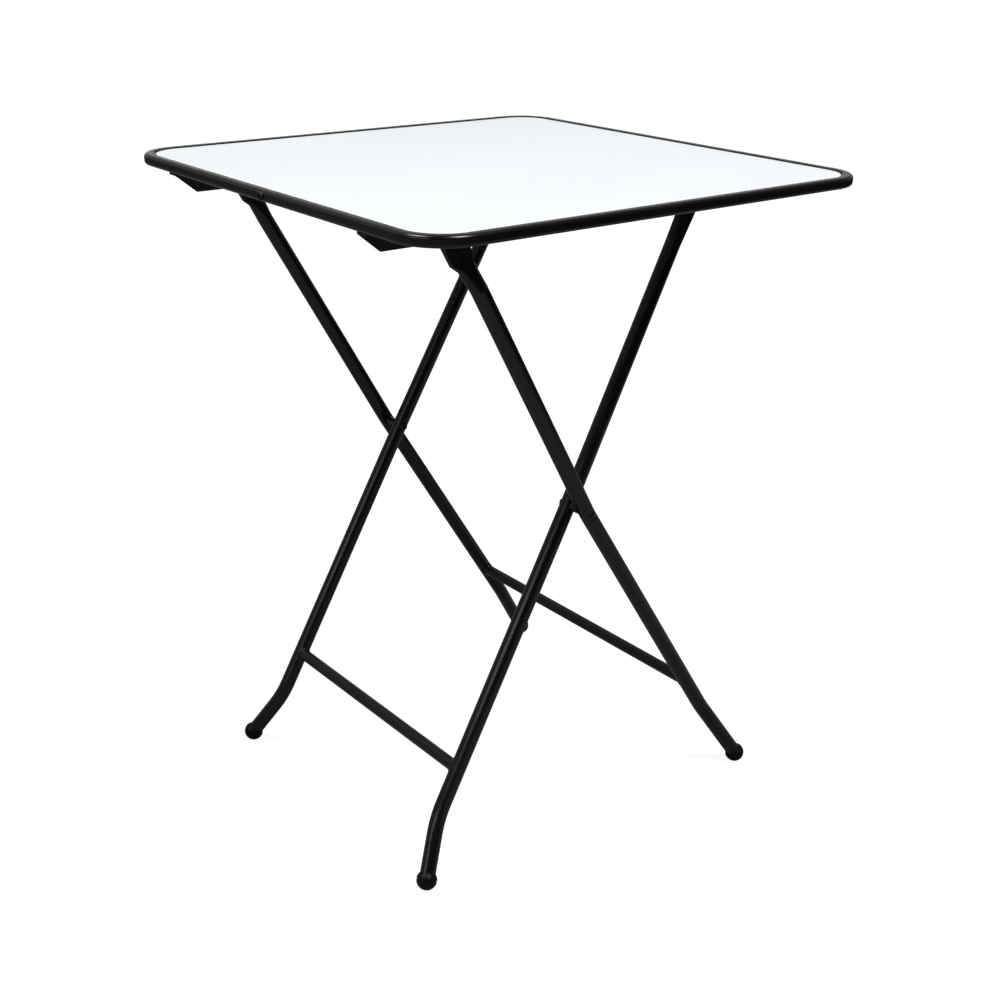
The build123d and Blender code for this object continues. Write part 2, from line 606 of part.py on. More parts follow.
def crossing_rivet():
    """The right crossing's rivet: a low dome outside, a rolled hollow end inside."""
    outer = OUTER_HALF_AT_PIVOT + PAD_LEVEL
    inner = INNER_HALF_AT_PIVOT - PAD_LEVEL - FACE_PLAY
    tip = inner - RIVET_ROLL_HEIGHT
    dome_radius = (RIVET_HEAD_RADIUS ** 2 + RIVET_HEAD_HEIGHT ** 2) / (2 * RIVET_HEAD_HEIGHT)
    roll_middle = (tip, (RIVET_ROLL_RADIUS + RIVET_HOLLOW_RADIUS) / 2)
    half_section = Curve() + [
        Line((tip + RIVET_HOLLOW_DEPTH, 0), (outer + RIVET_HEAD_HEIGHT, 0)),
        RadiusArc((outer + RIVET_HEAD_HEIGHT, 0), (outer, RIVET_HEAD_RADIUS), -dome_radius),
        Line((outer, RIVET_HEAD_RADIUS), (outer, RIVET_RADIUS)),
        Line((outer, RIVET_RADIUS), (inner, RIVET_RADIUS)),
        Line((inner, RIVET_RADIUS), (inner, RIVET_ROLL_RADIUS)),
        ThreePointArc((inner, RIVET_ROLL_RADIUS), roll_middle, (inner, RIVET_HOLLOW_RADIUS)),
        Line((inner, RIVET_HOLLOW_RADIUS), (tip + RIVET_HOLLOW_DEPTH, RIVET_HOLLOW_RADIUS)),
        Line((tip + RIVET_HOLLOW_DEPTH, RIVET_HOLLOW_RADIUS), (tip + RIVET_HOLLOW_DEPTH, 0)),
    ]
    rivet = revolve(make_face(half_section), Axis.X, FULL_TURN)
    return Pos(0, PIVOT_Y, PIVOT_HEIGHT) * rivet


def crossing_spacer():
    """The spacer tube between the outer and the inner leg."""
    low = INNER_HALF_AT_PIVOT + PAD_LEVEL + FACE_PLAY + WASHER_THICKNESS
    high = OUTER_HALF_AT_PIVOT - PAD_LEVEL
    return ring_across_x(SPACER_RADIUS, RIVET_RADIUS + FIXED_FIT, low, high, PIVOT_Y, PIVOT_HEIGHT)


def crossing_washer():
    """The washer that turns against the inner leg."""
    low = INNER_HALF_AT_PIVOT + PAD_LEVEL + FACE_PLAY
    high = low + WASHER_THICKNESS
    return ring_across_x(SPACER_RADIUS, RIVET_RADIUS + FIXED_FIT, low, high, PIVOT_Y, PIVOT_HEIGHT)


def both_sides(piece):
    """A piece and its mirror image as one group of separate solids."""
    pieces = piece if isinstance(piece, list) else [piece]
    return Compound(children=pieces + [left_of(each) for each in pieces])


def build_nodes():
    """Every piece of the table by the name of its node."""
    right_rail = rail_right()
    right_outer = outer_leg()
    right_inner = inner_leg()
    outer_foot = foot_plug(outer_stations())
    inner_foot = foot_plug(inner_stations())
    bolt = hinge_bolt()
    sleeve = hinge_sleeve()
    rivet = crossing_rivet()
    spacer = crossing_spacer()
    return {
        "top_panel": top_panel(),
        "rim_hoop": rim_hoop(),
        "rim_joint_plug": rim_joint_plug(),
        "rim_joint_screw": rim_joint_screw(),
        "rail_right": right_rail,
        "rail_left": left_of(right_rail),
        "panel_screws": panel_screws(),
        "outer_leg_right": right_outer,
        "outer_leg_left": left_of(right_outer),
        "outer_crossbar": crossbar(outer_stations(), OUTER_BAR_HEIGHT),
        "outer_foot_right": outer_foot,
        "outer_foot_left": left_of(outer_foot),
        "inner_leg_right": right_inner,
        "inner_leg_left": left_of(right_inner),
        "inner_crossbar": crossbar(inner_stations(), INNER_BAR_HEIGHT),
        "top_rod": top_rod(),
        "inner_foot_right": inner_foot,
        "inner_foot_left": left_of(inner_foot),
        "hinge_bolt_right": bolt,
        "hinge_bolt_left": left_of(bolt),
        "hinge_sleeve_right": sleeve,
        "hinge_sleeve_left": left_of(sleeve),
        "hinge_washers": both_sides(hinge_washers()),
        "hinge_nuts": both_sides(hinge_nut()),
        "crossing_rivet_right": rivet,
        "crossing_rivet_left": left_of(rivet),
        "crossing_spacer_right": spacer,
        "crossing_spacer_left": left_of(spacer),
        "crossing_washers": both_sides(crossing_washer()),
    }


def main():
    """Write one STEP file per node into the parts folder."""
    os.makedirs("parts", exist_ok=True)
    for name, piece in build_nodes().items():
        export_step(piece, f"parts/{name}.step")


main()
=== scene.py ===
"""Dresses the folding table: finishes, weld beads, studio and camera.

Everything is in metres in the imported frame's own axes: +X to the sitter's right,
+Y away from the sitter and +Z up, with the origin on the floor under the top.
"""

import json
import logging
import math
from dataclasses import dataclass, field
from enum import Enum

import bmesh
import bpy
from mathutils import Matrix, Vector


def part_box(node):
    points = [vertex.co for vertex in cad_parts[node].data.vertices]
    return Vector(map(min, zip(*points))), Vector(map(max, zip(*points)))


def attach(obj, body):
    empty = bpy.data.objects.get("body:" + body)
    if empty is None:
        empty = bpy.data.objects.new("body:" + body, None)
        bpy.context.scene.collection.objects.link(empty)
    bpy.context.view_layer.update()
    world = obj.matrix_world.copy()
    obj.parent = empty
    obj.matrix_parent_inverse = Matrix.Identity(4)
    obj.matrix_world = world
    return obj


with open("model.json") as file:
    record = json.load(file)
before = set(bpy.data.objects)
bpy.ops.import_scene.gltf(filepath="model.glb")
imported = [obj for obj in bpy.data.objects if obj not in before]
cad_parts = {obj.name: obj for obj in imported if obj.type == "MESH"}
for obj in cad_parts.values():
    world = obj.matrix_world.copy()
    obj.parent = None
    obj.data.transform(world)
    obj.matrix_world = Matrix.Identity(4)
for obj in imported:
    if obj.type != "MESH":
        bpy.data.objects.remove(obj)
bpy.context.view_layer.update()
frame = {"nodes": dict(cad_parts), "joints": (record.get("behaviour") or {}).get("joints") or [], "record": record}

LOG = logging.getLogger("folding_table")
MM = 0.001

Colour = tuple[float, float, float]
Triple = tuple[float, float, float]
Span = tuple[float, float]
Socket = bpy.types.NodeSocket

WHITE: Colour = (1.0, 1.0, 1.0)
# A mask that rises along the range it is made from, and one that falls.
RISE: Span = (0.0, 1.0)
FALL: Span = (1.0, 0.0)


class Body(Enum):
    """The table's bodies, which move against each other."""

    TABLE_TOP = "table_top"
    OUTER_FRAME = "outer_frame"
    INNER_FRAME = "inner_frame"


def joint_place(name: str) -> Vector:
    """Return the place of a joint of the frame."""
    return Vector(next(joint["pos_m"] for joint in frame["joints"] if joint["name"] == name))


# Small helpers for shader nodes

VALUE_SOCKET = "NodeSocketFloat"
# The places of a mix node's colour sockets, among its sockets for other data.
FIRST_COLOUR = 6
SECOND_COLOUR = 7
MIXED_COLOUR = 2


def rgba(colour: Colour) -> tuple[float, float, float, float]:
    """Return a colour with full alpha."""
    return (*colour, 1.0)


@dataclass
class Graph:
    """A node tree with short calls for adding and joining nodes."""

    tree: bpy.types.NodeTree

    def add(self, kind: str, **settings: object) -> bpy.types.Node:
        """Add a node.

        Args:
            kind: The node's Blender type name.
            **settings: Properties to set on it.

        Returns:
            The new node.
        """
        node = self.tree.nodes.new(kind)
        for name, value in settings.items():
            setattr(node, name, value)
        return node

    def find(self, kind: str) -> bpy.types.Node:
        """Return the first node of a type that the tree already has."""
        return next(node for node in self.tree.nodes if node.type == kind)

    def join(self, source: Socket, target: Socket) -> None:
        """Link one socket to another."""
        self.tree.links.new(source, target)

    def noise(self, place: Socket, scale: Socket, detail: float, rough: float) -> Socket:
        """Add a noise texture.

        Args:
            place: The coordinates that it reads.
            scale: Its frequency, per metre.
            detail: The number of octaves.
            rough: How strong the small octaves are.

        Returns:
            Its value socket.
        """
        node = self.add("ShaderNodeTexNoise")
        node.inputs["Detail"].default_value = detail
        node.inputs["Roughness"].default_value = rough
        self.join(place, node.inputs["Vector"])
        self.join(scale, node.inputs["Scale"])
        return node.outputs["Fac"]

    def along(self, vector: Socket, way: Triple) -> Socket:
        """Measure how far a vector reaches along a fixed direction.

        Args:
            vector: The vector's socket.
            way: The direction.

        Returns:
            The length's socket.
        """
        node = self.add("ShaderNodeVectorMath", operation="DOT_PRODUCT")
        self.join(vector, node.inputs[0])
        node.inputs[1].default_value = way
        return node.outputs["Value"]

    def ramp(self, value: Socket, start: Span, end: Span) -> Socket:
        """Map a value smoothly from one range to another.

        Args:
            value: The socket to map.
            start: The input range.
            end: The output range.

        Returns:
            The mapped value's socket.
        """
        node = self.add("ShaderNodeMapRange", interpolation_type="SMOOTHSTEP")
        node.inputs["From Min"].default_value = start[0]
        node.inputs["From Max"].default_value = start[1]
        node.inputs["To Min"].default_value = end[0]
        node.inputs["To Max"].default_value = end[1]
        self.join(value, node.inputs["Value"])
        return node.outputs["Result"]

    def maths(self, operation: str, first: Socket, second: Socket | float) -> Socket:
        """Add a maths node.

        Args:
            operation: Its operation's name.
            first: Its first value.
            second: Its second value, a socket or a number.

        Returns:
            Its result's socket.
        """
        node = self.add("ShaderNodeMath", operation=operation)
        self.join(first, node.inputs[0])
        if isinstance(second, Socket):
            self.join(second, node.inputs[1])
        else:
            node.inputs[1].default_value = second
        return node.outputs["Value"]

    def blend(self, share: Socket, first: Colour, second: Colour) -> Socket:
        """Mix two colours.

        Args:
            share: How much of the second colour to use.
            first: The colour where the share is nought.
            second: The colour where the share is one.

        Returns:
            The mixed colour's socket.
        """
        node = self.add("ShaderNodeMix", data_type="RGBA")
        self.join(share, node.inputs["Factor"])
        node.inputs[FIRST_COLOUR].default_value = rgba(first)
        node.inputs[SECOND_COLOUR].default_value = rgba(second)
        return node.outputs[MIXED_COLOUR]


def new_group(
    name: str, inputs: list[str], outputs: list[str]
) -> tuple[Graph, dict[str, Socket], dict[str, Socket]]:
    """Start a shader node group whose sockets all carry values.

    Args:
        name: The group's name.
        inputs: The names of its inputs.
        outputs: The names of its outputs.

    Returns:
        The group's graph, its inner input sockets and its inner output sockets.
    """
    tree = bpy.data.node_groups.new(name, "ShaderNodeTree")
    for label in inputs:
        tree.interface.new_socket(name=label, in_out="INPUT", socket_type=VALUE_SOCKET)
    for label in outputs:
        tree.interface.new_socket(name=label, in_out="OUTPUT", socket_type=VALUE_SOCKET)
    graph = Graph(tree)
    entry = graph.add("NodeGroupInput")
    leave = graph.add("NodeGroupOutput")
    entries = {label: entry.outputs[label] for label in inputs}
    exits = {label: leave.inputs[label] for label in outputs}
    return graph, entries, exits


@dataclass(frozen=True)
class Octaves:
    """How a noise is built up: the number of octaves and how strong the small ones are."""

    detail: float
    rough: float


class Effects:
    """The node groups that several finishes share, each built once.

    A band is the part of a noise's values that makes up the step of a mask.
    """

    ripple: Octaves = Octaves(1.5, 0.5)
    speckle: Octaves = Octaves(2.0, 0.6)
    speckle_band: Span = (0.3, 0.7)
    shade_range: Span = (0.88, 1.12)
    patch: Octaves = Octaves(3.0, 0.5)
    patch_band: Span = (0.35, 0.7)
    rub: Octaves = Octaves(4.0, 0.65)
    rub_band: Span = (0.62, 0.74)
    rub_turn: Triple = (0.6, 0.3, 0.8)
    rub_stretch: Triple = (1.0, 14.0, 1.0)

    def __init__(self) -> None:
        """Build the groups."""
        self.coat = self._coat_grain()
        self.handling = self._handling()

    def _coat_grain(self) -> bpy.types.NodeTree:
        """Build the fine ripple and speckle of a baked or moulded skin.

        Returns:
            A group with a height, and a shade that is about one.
        """
        graph, given, made = new_group(
            "coat_grain",
            ["Ripple Scale", "Speckle Scale", "Speckle Share"],
            ["Height", "Shade"],
        )
        place = graph.add("ShaderNodeTexCoord").outputs["Object"]
        ripple = graph.noise(place, given["Ripple Scale"], self.ripple.detail, self.ripple.rough)
        speckle = graph.noise(place, given["Speckle Scale"], self.speckle.detail, self.speckle.rough)
        fine = graph.maths("MULTIPLY", speckle, given["Speckle Share"])
        graph.join(graph.maths("ADD", ripple, fine), made["Height"])
        graph.join(graph.ramp(speckle, self.speckle_band, self.shade_range), made["Shade"])
        return graph.tree

    def _handling(self) -> bpy.types.NodeTree:
        """Build the soft patches and fine rubs that hands leave on a surface.

        Returns:
            A group with a patch mask and a rub mask, each from nought to one.
        """
        graph, given, made = new_group(
            "handling_marks",
            ["Patch Scale", "Rub Scale"],
            ["Patches", "Rubs"],
        )
        place = graph.add("ShaderNodeTexCoord").outputs["Object"]
        patch = graph.noise(place, given["Patch Scale"], self.patch.detail, self.patch.rough)
        graph.join(graph.ramp(patch, self.patch_band, RISE), made["Patches"])
        stretch = graph.add("ShaderNodeMapping")
        stretch.inputs["Rotation"].default_value = self.rub_turn
        stretch.inputs["Scale"].default_value = self.rub_stretch
        graph.join(place, stretch.inputs["Vector"])
        stretched = stretch.outputs["Vector"]
        rub = graph.noise(stretched, given["Rub Scale"], self.rub.detail, self.rub.rough)
        graph.join(graph.ramp(rub, self.rub_band, RISE), made["Rubs"])
        return graph.tree


@dataclass(frozen=True)
class Finish:
    """One surface finish with grain, patches and rubs of its own scale.

    Attributes:
        name: The material's name.
        colour: Its clean colour.
        patch_colour: Its colour in the handled patches.
        roughness: Its clean roughness.
        patch_roughness: Its roughness in the handled patches.
        metallic: One for bare metal.
        ripple_scale: The frequency of the coat's ripple, per metre.
        speckle_scale: The frequency of its fine speckle, per metre.
        speckle_share: How strong the speckle is beside the ripple.
        bump_height: How high both stand.
        patch_scale: The frequency of the patches, per metre.
        rub_scale: The frequency of the fine rubs, per metre.
        rub_roughness: How much rougher a rub is.
        specular: The strength of the mirroring, half being the usual.
    """

    name: str
    colour: Colour
    patch_colour: Colour
    roughness: float
    patch_roughness: float
    metallic: float = 0.0
    ripple_scale: float = 700.0
    speckle_scale: float = 2600.0
    speckle_share: float = 0.35
    bump_height: float = 0.02 * MM
    patch_scale: float = 9.0
    rub_scale: float = 55.0
    rub_roughness: float = 0.05
    specular: float = 0.5

    def build(self, effects: Effects) -> bpy.types.Material:
        """Make the material.

        Args:
            effects: The shared node groups.

        Returns:
            The finished material.
        """
        material = bpy.data.materials.new(self.name)
        material.use_nodes = True
        graph = Graph(material.node_tree)
        shader = graph.find("BSDF_PRINCIPLED")
        shader.inputs["Metallic"].default_value = self.metallic
        shader.inputs["Specular IOR Level"].default_value = self.specular

        grain = graph.add("ShaderNodeGroup", node_tree=effects.coat)
        grain.inputs["Ripple Scale"].default_value = self.ripple_scale
        grain.inputs["Speckle Scale"].default_value = self.speckle_scale
        grain.inputs["Speckle Share"].default_value = self.speckle_share
        marks = graph.add("ShaderNodeGroup", node_tree=effects.handling)
        marks.inputs["Patch Scale"].default_value = self.patch_scale
        marks.inputs["Rub Scale"].default_value = self.rub_scale

        tint = graph.blend(marks.outputs["Patches"], self.colour, self.patch_colour)
        shaded = graph.add("ShaderNodeVectorMath", operation="SCALE")
        graph.join(tint, shaded.inputs[0])
        graph.join(grain.outputs["Shade"], shaded.inputs["Scale"])
        graph.join(shaded.outputs["Vector"], shader.inputs["Base Color"])

        dull = graph.ramp(marks.outputs["Patches"], RISE, (self.roughness, self.patch_roughness))
        rubbed = graph.maths("MULTIPLY", marks.outputs["Rubs"], self.rub_roughness)
        graph.join(graph.maths("ADD", dull, rubbed), shader.inputs["Roughness"])

        bump = graph.add("ShaderNodeBump")
        bump.inputs["Distance"].default_value = self.bump_height
        graph.join(grain.outputs["Height"], bump.inputs["Height"])
        graph.join(bump.outputs["Normal"], shader.inputs["Normal"])
        return material


PANEL = Finish(
    "panel_laminate",
    colour=(0.9, 0.935, 0.962),
    patch_colour=(0.895, 0.932, 0.96),
    roughness=0.3,
    patch_roughness=0.34,
    ripple_scale=260.0,
    speckle_scale=1800.0,
    bump_height=0.004 * MM,
    patch_scale=5.0,
)
RIM = Finish(
    "rim_powder_coat",
    colour=(0.0045, 0.0046, 0.005),
    patch_colour=(0.0056, 0.0058, 0.0062),
    roughness=0.18,
    patch_roughness=0.23,
)
FRAME = Finish(
    "leg_powder_coat",
    colour=(0.0026, 0.0026, 0.0027),
    patch_colour=(0.0036, 0.0036, 0.0037),
    roughness=0.23,
    patch_roughness=0.29,
)
RAIL = Finish(
    "rail_powder_coat",
    colour=(0.006, 0.006, 0.0063),
    patch_colour=(0.008, 0.008, 0.0083),
    roughness=0.42,
    patch_roughness=0.5,
)
FOOT = Finish(
    "foot_moulding",
    colour=(0.004, 0.004, 0.004),
    patch_colour=(0.007, 0.007, 0.0069),
    roughness=0.42,
    patch_roughness=0.52,
    specular=0.15,
    ripple_scale=1500.0,
    speckle_scale=5200.0,
)
FASTENER = Finish(
    "fastener_black_zinc",
    colour=(0.012, 0.012, 0.013),
    patch_colour=(0.02, 0.02, 0.021),
    roughness=0.26,
    patch_roughness=0.34,
    metallic=0.3,
)
ZINC = Finish(
    "screw_zinc",
    colour=(0.56, 0.57, 0.6),
    patch_colour=(0.48, 0.49, 0.52),
    roughness=0.28,
    patch_roughness=0.4,
    metallic=1.0,
)
NYLON = Finish(
    "washer_nylon",
    colour=(0.03, 0.03, 0.03),
    patch_colour=(0.04, 0.04, 0.04),
    roughness=0.5,
    patch_roughness=0.58,
)
SLOT_FINISHES = {
    "panel_white": PANEL,
    "rim_black": RIM,
    "frame_black": FRAME,
    "rail_black": RAIL,
    "foot_black": FOOT,
    "fastener_black": FASTENER,
    "screw_steel": ZINC,
    "washer_nylon": NYLON,
}


@dataclass
class Palette:
    """The materials by slot, each made on first use."""

    effects: Effects
    made: dict[str, bpy.types.Material] = field(default_factory=dict)

    def material(self, slot: str) -> bpy.types.Material:
        """Give a slot's material, and make it on first use.

        Args:
            slot: The slot's name in the record.

        Returns:
            The material.
        """
        if slot not in self.made:
            self.made[slot] = SLOT_FINISHES[slot].build(self.effects)
        return self.made[slot]


# Weld beads


@dataclass(frozen=True)
class Corner:
    """A point of the corner between two welded skins.

    Attributes:
        point: The point.
        first_way: The way from it along one skin.
        second_way: The way from it along the other.
        inward: The way into the metal.
    """

    point: Vector
    first_way: Vector
    second_way: Vector
    inward: Vector


@dataclass(frozen=True)
class Bead:
    """A weld bead that fills a corner all the way round, with the welder's ripples.

    Attributes:
        leg: How far it reaches along each skin.
        fullness: Nought for a face that curves in to the corner, one for a flat face.
        ripples: How many ripples go round it.
        ripple_share: How much they change its size.
        drift_share: How much its size drifts besides.
        drift_phase: Where round it the drift starts.
        drift_waves: How many waves the drift has.
        start_share: How much larger it is where the welder began.
        start_turn: Where round it the welder began.
        start_width: How far round the larger part reaches.
        depth: How deep its inner edge lies in the metal.
        across: How many faces span it.
        steps: How many rings it has all the way round.
    """

    leg: float = 2.6 * MM
    fullness: float = 0.75
    ripples: int = 24
    ripple_share: float = 0.09
    drift_share: float = 0.1
    drift_phase: float = 0.2
    drift_waves: int = 2
    start_share: float = 0.55
    start_turn: float = 0.27
    start_width: float = 0.045
    depth: float = 0.6 * MM
    across: int = 6
    steps: int = 120

    def size(self, turn: float) -> float:
        """Find the bead's size against its usual one.

        Args:
            turn: The share of its way round.

        Returns:
            One where it is as large as usual.
        """
        ripple = self.ripple_share * math.cos(math.tau * self.ripples * turn)
        drift = self.drift_share * math.sin(math.tau * (turn + self.drift_phase))
        drift *= math.cos(math.tau * self.drift_waves * turn)
        start = self.start_share * math.exp(-(((turn - self.start_turn) / self.start_width) ** 2))
        return 1.0 + ripple + drift + start

    def ring(self, corner: Corner, size: float) -> list[Vector]:
        """Return the outline of the bead across one point of the corner.

        Args:
            corner: The corner at that point.
            size: The bead's size there against its usual one.

        Returns:
            The outline: a curved face from one skin to the other, and a point inside them.
        """
        first = corner.point + corner.first_way * self.leg * size
        second = corner.point + corner.second_way * self.leg * size
        bulge = corner.point.lerp((first + second) / 2, self.fullness / size)
        outline = []
        for count in range(self.across + 1):
            share = count / self.across
            outline.append(first.lerp(bulge, share).lerp(bulge.lerp(second, share), share))
        outline.append(corner.point + corner.inward * self.depth)
        return outline

    def build(self, name: str, corners: list[Corner], palette: Palette) -> bpy.types.Object:
        """Lay the bead along a closed line of corners.

        Args:
            name: The piece's name.
            corners: The corners, in order.
            palette: Where its finish comes from.

        Returns:
            The bead.
        """
        mesh = bmesh.new()
        rings = []
        for count, corner in enumerate(corners):
            outline = self.ring(corner, self.size(count / len(corners)))
            rings.append([mesh.verts.new(point) for point in outline])
        for count, ring in enumerate(rings):
            after = rings[(count + 1) % len(rings)]
            for side in range(len(ring)):
                nearby = (side + 1) % len(ring)
                face = mesh.faces.new((ring[side], ring[nearby], after[nearby], after[side]))
                face.smooth = True
        bmesh.ops.recalc_face_normals(mesh, faces=mesh.faces)
        data = bpy.data.meshes.new(name)
        mesh.to_mesh(data)
        mesh.free()
        data.materials.append(palette.material("frame_black"))
        piece = bpy.data.objects.new(name, data)
        bpy.context.scene.collection.objects.link(piece)
        return piece


def pin_corners(centre: Vector, radius: float, away: float, steps: int) -> list[Corner]:
    """Find the corner between a pin along X and the plate that it goes through.

    Args:
        centre: The pin's axis at the plate's face.
        radius: The pin's radius.
        away: One or minus one, the way along X in which the face looks.
        steps: How many points to give.

    Returns:
        The corners round the pin.
    """
    corners = []
    for count in range(steps):
        turn = math.tau * count / steps
        outward = Vector((0.0, math.cos(turn), math.sin(turn)))
        along_pin = Vector((away, 0.0, 0.0))
        into_metal = -(outward + along_pin).normalized()
        corners.append(Corner(centre + outward * radius, along_pin, outward, into_metal))
    return corners


@dataclass(frozen=True)
class BarJoint:
    """The place where a crossbar's end is coped against a right leg.

    Attributes:
        place: Where the bar's axis meets the leg's.
        leg_way: The way along the leg.
        leg_radius: The radius of the leg's tube.
        bar_radius: The radius of the bar.
    """

    place: Vector
    leg_way: Vector
    leg_radius: float
    bar_radius: float

    def corner(self, turn: float, side: int) -> Corner:
        """Find the corner between the bar and the leg.

        Args:
            turn: The angle round the bar.
            side: One for the right leg and minus one for its mirror image.

        Returns:
            The corner there.
        """
        outward = Vector((0.0, math.cos(turn), math.sin(turn)))
        reach = outward * self.bar_radius
        slant = self.leg_way.x
        lean = reach.dot(self.leg_way)
        square = 1.0 - slant * slant
        half = slant * lean
        rest = reach.length_squared - lean * lean - self.leg_radius * self.leg_radius
        # A line along the bar meets the leg's skin at both roots of
        # square * x**2 - 2 * half * x + rest = 0, and the bar ends at the smaller one.
        inward = (half - math.sqrt(half * half - square * rest)) / square
        from_place = reach + Vector((inward, 0.0, 0.0))
        leg_out = (from_place - self.leg_way * from_place.dot(self.leg_way)).normalized()
        along_leg = (outward - leg_out * outward.dot(leg_out)).normalized()
        mirror = Matrix.Diagonal((side, 1.0, 1.0))
        return Corner(
            mirror @ (self.place + from_place),
            mirror @ Vector((-1.0, 0.0, 0.0)),
            mirror @ along_leg,
            mirror @ -(outward + leg_out).normalized(),
        )

    def corners(self, side: int, steps: int) -> list[Corner]:
        """Find the corners all round the bar's end.

        Args:
            side: One for the right leg and minus one for its mirror image.
            steps: How many points to give.

        Returns:
            The corners.
        """
        return [self.corner(math.tau * count / steps, side) for count in range(steps)]


# The sub-assemblies


@dataclass
class SubAssembly:
    """One body of the table: its solids in their finishes, and its weld beads."""

    palette: Palette
    body: Body

    def build(self) -> None:
        """Dress the solids and add the beads."""
        self.dress()
        for piece in self.beads():
            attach(piece, self.body.value)
            LOG.info("%s rides on %s", piece.name, self.body.value)

    def dress(self) -> None:
        """Give each solid of the body the finish of its slot."""
        own = frame["record"]["behaviour"]["bodies"][self.body.value]
        for part in frame["record"]["subparts"]:
            if part["node"] in own:
                self.dress_node(part["node"], self.palette.material(part["material_slot"]))

    @staticmethod
    def dress_node(name: str, material: bpy.types.Material) -> None:
        """Assign a material to every slot of a node.

        Args:
            name: The node's name.
            material: Its material.
        """
        node = frame["nodes"][name]
        if not node.material_slots:
            node.data.materials.append(material)
        for slot in node.material_slots:
            slot.material = material
        LOG.info("%s has %s", name, material.name)

    def beads(self) -> list[bpy.types.Object]:
        """Return the body's weld beads, of which the top has none."""
        return []


@dataclass
class TableTop(SubAssembly):
    """The white panel in its rim, with the rails under it."""

    body: Body = Body.TABLE_TOP


@dataclass
class LegFrame(SubAssembly):
    """A pair of legs and their crossbar, with sizes that follow the solids.

    Attributes:
        crossbar: The crossbar's node.
        half_at_crossing: The X of the right leg's axis at the crossing.
        step_to_flare: How much further out that axis lies at the flare.
        flare_height: The height at which the flare begins.
        tube_radius: The radius of a leg's tube.
        bar_bead: The bead at a crossbar's end.
        pin_bead: The bead round a sleeve or a rod.
    """

    crossbar: str = ""
    half_at_crossing: float = 0.0
    step_to_flare: float = 0.0
    flare_height: float = 0.0
    tube_radius: float = 8.4 * MM
    bar_bead: Bead = Bead()
    pin_bead: Bead = Bead(leg=1.4 * MM, ripples=14, steps=72)

    def bar_joint(self) -> BarJoint:
        """Work out where the crossbar meets the right leg.

        Returns:
            The joint, from the crossbar's own box and the leg's two ends.
        """
        low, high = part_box(self.crossbar)
        crossing = joint_place("leg_crossing")
        height = (low.z + high.z) / 2
        share = (crossing.z - height) / (crossing.z - self.flare_height)
        place = Vector((self.half_at_crossing + self.step_to_flare * share, (low.y + high.y) / 2, height))
        start = Vector((self.half_at_crossing, crossing.y, crossing.z))
        return BarJoint(place, (place - start).normalized(), self.tube_radius, (high.z - low.z) / 2)

    def bar_beads(self) -> list[bpy.types.Object]:
        """Lay the beads at both ends of the crossbar.

        Returns:
            The right bead and the left one.
        """
        joint = self.bar_joint()
        pieces = []
        for label, side in (("right", 1), ("left", -1)):
            corners = joint.corners(side, self.bar_bead.steps)
            pieces.append(self.bar_bead.build(f"{self.crossbar}_bead_{label}", corners, self.palette))
        return pieces

    def pin_beads(
        self, label: str, face: float, way: int, place: Vector, radius: float
    ) -> list[bpy.types.Object]:
        """Lay a bead round a pin at a face of the right plate, and one at its mirror image.

        Args:
            label: What the pieces are called.
            face: The X of the face.
            way: One or minus one, the way along X in which the face looks.
            place: A point on the pin's axis.
            radius: The pin's radius.

        Returns:
            The two beads.
        """
        pieces = []
        for end, side in (("right", 1), ("left", -1)):
            centre = Vector((face * side, place.y, place.z))
            corners = pin_corners(centre, radius, way * side, self.pin_bead.steps)
            pieces.append(self.pin_bead.build(f"{label}_bead_{end}", corners, self.palette))
        return pieces


@dataclass
class OuterFrame(LegFrame):
    """The outer legs, which hinge under the front of the top."""

    body: Body = Body.OUTER_FRAME
    crossbar: str = "outer_crossbar"
    half_at_crossing: float = 184.8 * MM
    step_to_flare: float = 4.4 * MM
    flare_height: float = 86.0 * MM

    def beads(self) -> list[bpy.types.Object]:
        """Lay the beads of the crossbar and of the hinge sleeves.

        Returns:
            All of them.
        """
        low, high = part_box("hinge_sleeve_right")
        radius = (high.z - low.z) / 2
        place = joint_place("top_hinge")
        return self.bar_beads() + self.pin_beads("hinge_sleeve", high.x, -1, place, radius)


@dataclass
class InnerFrame(LegFrame):
    """The inner legs, which carry the rod that catches the rails.

    Attributes:
        plate_middle: The X of the middle of the right leg's pressed plate.
        plate_thickness: The thickness of that plate.
    """

    body: Body = Body.INNER_FRAME
    crossbar: str = "inner_crossbar"
    half_at_crossing: float = 154.5 * MM
    step_to_flare: float = 5.9 * MM
    flare_height: float = 62.0 * MM
    plate_middle: float = 143.6 * MM
    plate_thickness: float = 5.5 * MM

    def beads(self) -> list[bpy.types.Object]:
        """Lay the beads of the crossbar and of the rod through the legs' plates.

        Returns:
            All of them.
        """
        low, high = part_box("top_rod")
        radius = (high.z - low.z) / 2
        place = (low + high) / 2
        half = self.plate_thickness / 2
        inside = self.pin_beads("top_rod_inner", self.plate_middle - half, -1, place, radius)
        outside = self.pin_beads("top_rod_outer", self.plate_middle + half, 1, place, radius)
        return self.bar_beads() + inside + outside


# The studio

TOP_MIDDLE: Triple = (0.0, 0.0, 0.7)


